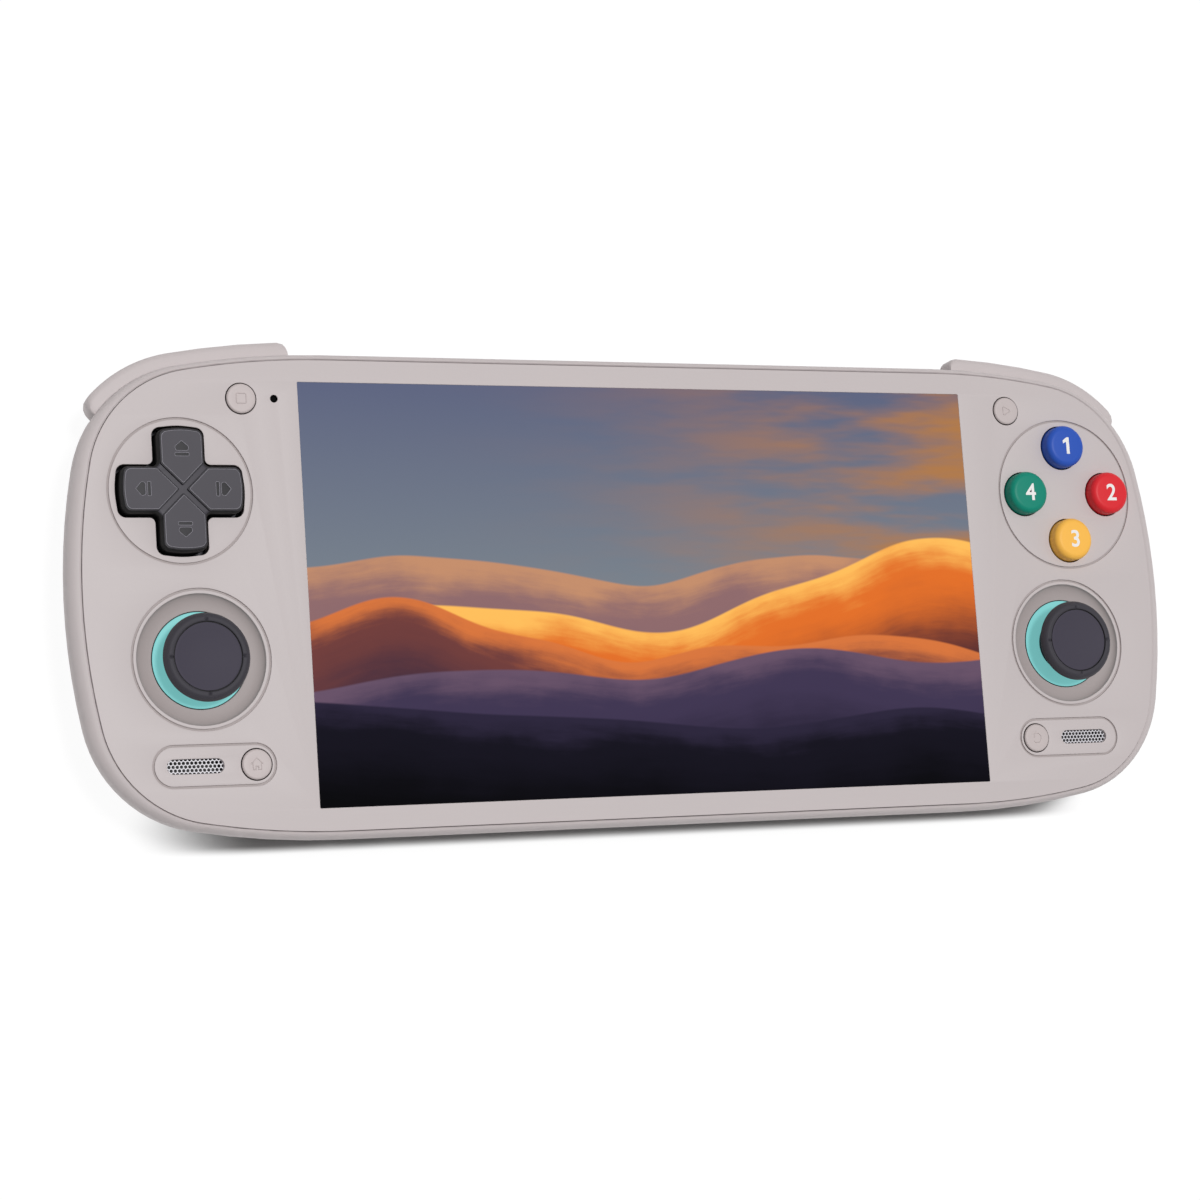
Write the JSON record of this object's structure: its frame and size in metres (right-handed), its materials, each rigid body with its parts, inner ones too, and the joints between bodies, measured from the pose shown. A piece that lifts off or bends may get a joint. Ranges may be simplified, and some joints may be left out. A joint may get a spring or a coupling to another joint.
{
  "type": "handheld game console",
  "caption": "Flat handheld game console with a wide display, cross key, colour face buttons, thumb sticks, shoulder keys and triggers in a rounded light grey case.",
  "frame": {"origin": "middle of the flat back face", "axes": "+X to the right as the player sees it, along the width; +Y to the edge with the shoulder keys; +Z out of the display"},
  "size_m": [0.1992, 0.0808, 0.0196],
  "materials": {
    "shell_plastic": "satin moulded plastic, warm light grey",
    "key_plastic": "satin moulded plastic, warm light grey",
    "dark_rubber": "soft matte rubber, dark grey",
    "teal_diffuser": "milky teal plastic",
    "screen_glass": "polished cover glass",
    "black_plastic": "matte black plastic",
    "dark_plastic": "satin dark grey plastic",
    "alloy": "stamped bare alloy",
    "battery_foil": "laminated foil pouch",
    "circuit_board": "glass-fibre board with solder mask",
    "copper": "bare copper sheet",
    "silicone": "moulded silicone",
    "steel": "bare steel",
    "grille_metal": "perforated bare metal",
    "blue_plastic": "satin blue plastic",
    "green_plastic": "satin green plastic",
    "red_plastic": "satin red plastic",
    "yellow_plastic": "satin yellow plastic"
  },
  "bodies": {
    "case": {"front_panel": "shell_plastic", "front_frame": "shell_plastic", "rear_shell": "shell_plastic", "display_glass": "screen_glass", "display_module": "black_plastic", "midframe": "alloy", "battery": "battery_foil", "mainboard": "circuit_board", "heat_spreader": "copper", "fan_housing": "black_plastic", "left_control_board": "circuit_board", "right_control_board": "circuit_board", "left_stick_board": "circuit_board", "right_stick_board": "circuit_board", "dpad_membrane": "silicone", "face_button_membrane": "silicone", "menu_switches": "black_plastic", "shoulder_switches": "black_plastic", "edge_switches": "black_plastic", "dpad_pivot_post": "black_plastic", "left_stick_housing": "black_plastic", "right_stick_housing": "black_plastic", "left_stick_light": "teal_diffuser", "right_stick_light": "teal_diffuser", "left_speaker": "black_plastic", "right_speaker": "black_plastic", "left_grille": "grille_metal", "right_grille": "grille_metal", "microphone": "steel", "trigger_pins": "steel", "trigger_springs": "steel", "usb_c_socket": "steel", "headphone_jack": "black_plastic", "card_socket": "steel", "case_screws": "steel"},
    "button_top": {"button_top": "blue_plastic"},
    "button_left": {"button_left": "green_plastic"},
    "button_right": {"button_right": "red_plastic"},
    "button_bottom": {"button_bottom": "yellow_plastic"},
    "select_button": {"select_button": "key_plastic"},
    "start_button": {"start_button": "key_plastic"},
    "home_button": {"home_button": "key_plastic"},
    "back_button": {"back_button": "key_plastic"},
    "dpad_pivot": {"dpad_pivot_ball": "steel"},
    "dpad": {"dpad": "dark_plastic"},
    "left_yoke": {"left_yoke": "steel"},
    "left_stick": {"left_stick": "steel"},
    "left_stick_cap": {"left_stick_cap": "dark_rubber"},
    "right_yoke": {"right_yoke": "steel"},
    "right_stick": {"right_stick": "steel"},
    "right_stick_cap": {"right_stick_cap": "dark_rubber"},
    "left_bumper": {"left_bumper": "shell_plastic"},
    "right_bumper": {"right_bumper": "shell_plastic"},
    "left_trigger": {"left_trigger": "shell_plastic"},
    "right_trigger": {"right_trigger": "shell_plastic"},
    "power_button": {"power_button": "key_plastic"},
    "volume_rocker": {"volume_rocker": "key_plastic"},
    "fan_rotor": {"fan_rotor": "black_plastic"}
  },
  "joints": [
    {"name": "button_top_press", "type": "slide", "parent": "case", "child": "button_top", "axis": [0, 0, -1], "range_m": [0, 0.0012], "stiffness_N_per_m": 250, "deforming": ["face_button_membrane"]},
    {"name": "button_left_press", "type": "slide", "parent": "case", "child": "button_left", "axis": [0, 0, -1], "range_m": [0, 0.0012], "stiffness_N_per_m": 250, "deforming": ["face_button_membrane"]},
    {"name": "button_right_press", "type": "slide", "parent": "case", "child": "button_right", "axis": [0, 0, -1], "range_m": [0, 0.0012], "stiffness_N_per_m": 250, "deforming": ["face_button_membrane"]},
    {"name": "button_bottom_press", "type": "slide", "parent": "case", "child": "button_bottom", "axis": [0, 0, -1], "range_m": [0, 0.0012], "stiffness_N_per_m": 250, "deforming": ["face_button_membrane"]},
    {"name": "select_press", "type": "slide", "parent": "case", "child": "select_button", "axis": [0, 0, -1], "range_m": [0, 0.0004], "stiffness_N_per_m": 400, "deforming": ["menu_switches"]},
    {"name": "start_press", "type": "slide", "parent": "case", "child": "start_button", "axis": [0, 0, -1], "range_m": [0, 0.0004], "stiffness_N_per_m": 400, "deforming": ["menu_switches"]},
    {"name": "home_press", "type": "slide", "parent": "case", "child": "home_button", "axis": [0, 0, -1], "range_m": [0, 0.0004], "stiffness_N_per_m": 400, "deforming": ["menu_switches"]},
    {"name": "back_press", "type": "slide", "parent": "case", "child": "back_button", "axis": [0, 0, -1], "range_m": [0, 0.0004], "stiffness_N_per_m": 400, "deforming": ["menu_switches"]},
    {"name": "dpad_up_down", "type": "hinge", "parent": "case", "child": "dpad_pivot", "pos_m": [-0.08115, 0.01645, 0.0126], "axis": [1, 0, 0], "range_deg": [-4, 4], "stiffness_Nm_per_rad": 0.08, "deforming": ["dpad_membrane"]},
    {"name": "dpad_left_right", "type": "hinge", "parent": "dpad_pivot", "child": "dpad", "pos_m": [-0.08115, 0.01645, 0.0126], "axis": [0, 1, 0], "range_deg": [-4, 4], "stiffness_Nm_per_rad": 0.08, "deforming": ["dpad_membrane"]},
    {"name": "left_stick_up_down", "type": "hinge", "parent": "case", "child": "left_yoke", "pos_m": [-0.07903, -0.0103, 0.0096], "axis": [1, 0, 0], "range_deg": [-14, 14], "stiffness_Nm_per_rad": 0.03},
    {"name": "left_stick_left_right", "type": "hinge", "parent": "left_yoke", "child": "left_stick", "pos_m": [-0.07903, -0.0103, 0.0096], "axis": [0, 1, 0], "range_deg": [-14, 14], "stiffness_Nm_per_rad": 0.03},
    {"name": "left_stick_click", "type": "slide", "parent": "left_stick", "child": "left_stick_cap", "axis": [0, 0, -1], "range_m": [0, 0.0005], "stiffness_N_per_m": 400},
    {"name": "left_bumper_press", "type": "hinge", "parent": "case", "child": "left_bumper", "pos_m": [-0.0652, 0.0349, 0.011], "axis": [0, 0, 1], "range_deg": [0, 2], "stiffness_Nm_per_rad": 0.3},
    {"name": "left_trigger_pull", "type": "hinge", "parent": "case", "child": "left_trigger", "pos_m": [-0.08333, 0.03068, 0.0062], "axis": [-0.894, -0.448, 0], "range_deg": [0, 6], "stiffness_Nm_per_rad": 0.04, "deforming": ["trigger_springs"]},
    {"name": "right_stick_up_down", "type": "hinge", "parent": "case", "child": "right_yoke", "pos_m": [0.07903, -0.0103, 0.0096], "axis": [1, 0, 0], "range_deg": [-14, 14], "stiffness_Nm_per_rad": 0.03},
    {"name": "right_stick_left_right", "type": "hinge", "parent": "right_yoke", "child": "right_stick", "pos_m": [0.07903, -0.0103, 0.0096], "axis": [0, 1, 0], "range_deg": [-14, 14], "stiffness_Nm_per_rad": 0.03},
    {"name": "right_stick_click", "type": "slide", "parent": "right_stick", "child": "right_stick_cap", "axis": [0, 0, -1], "range_m": [0, 0.0005], "stiffness_N_per_m": 400},
    {"name": "right_bumper_press", "type": "hinge", "parent": "case", "child": "right_bumper", "pos_m": [0.0652, 0.0349, 0.011], "axis": [0, 0, -1], "range_deg": [0, 2], "stiffness_Nm_per_rad": 0.3},
    {"name": "right_trigger_pull", "type": "hinge", "parent": "case", "child": "right_trigger", "pos_m": [0.08333, 0.03068, 0.0062], "axis": [-0.894, 0.448, 0], "range_deg": [0, 6], "stiffness_Nm_per_rad": 0.04, "deforming": ["trigger_springs"]},
    {"name": "power_press", "type": "slide", "parent": "case", "child": "power_button", "axis": [0, -1, 0], "range_m": [0, 0.0004], "stiffness_N_per_m": 400},
    {"name": "volume_rock", "type": "hinge", "parent": "case", "child": "volume_rocker", "pos_m": [-0.046, 0.03487, 0.0055], "axis": [0, 0, 1], "range_deg": [-1.5, 1.5], "stiffness_Nm_per_rad": 0.05},
    {"name": "fan_spin", "type": "hinge", "parent": "case", "child": "fan_rotor", "pos_m": [0.026, 0.004, 0.0043], "axis": [0, 0, 1], "continuous": true}
  ]
}
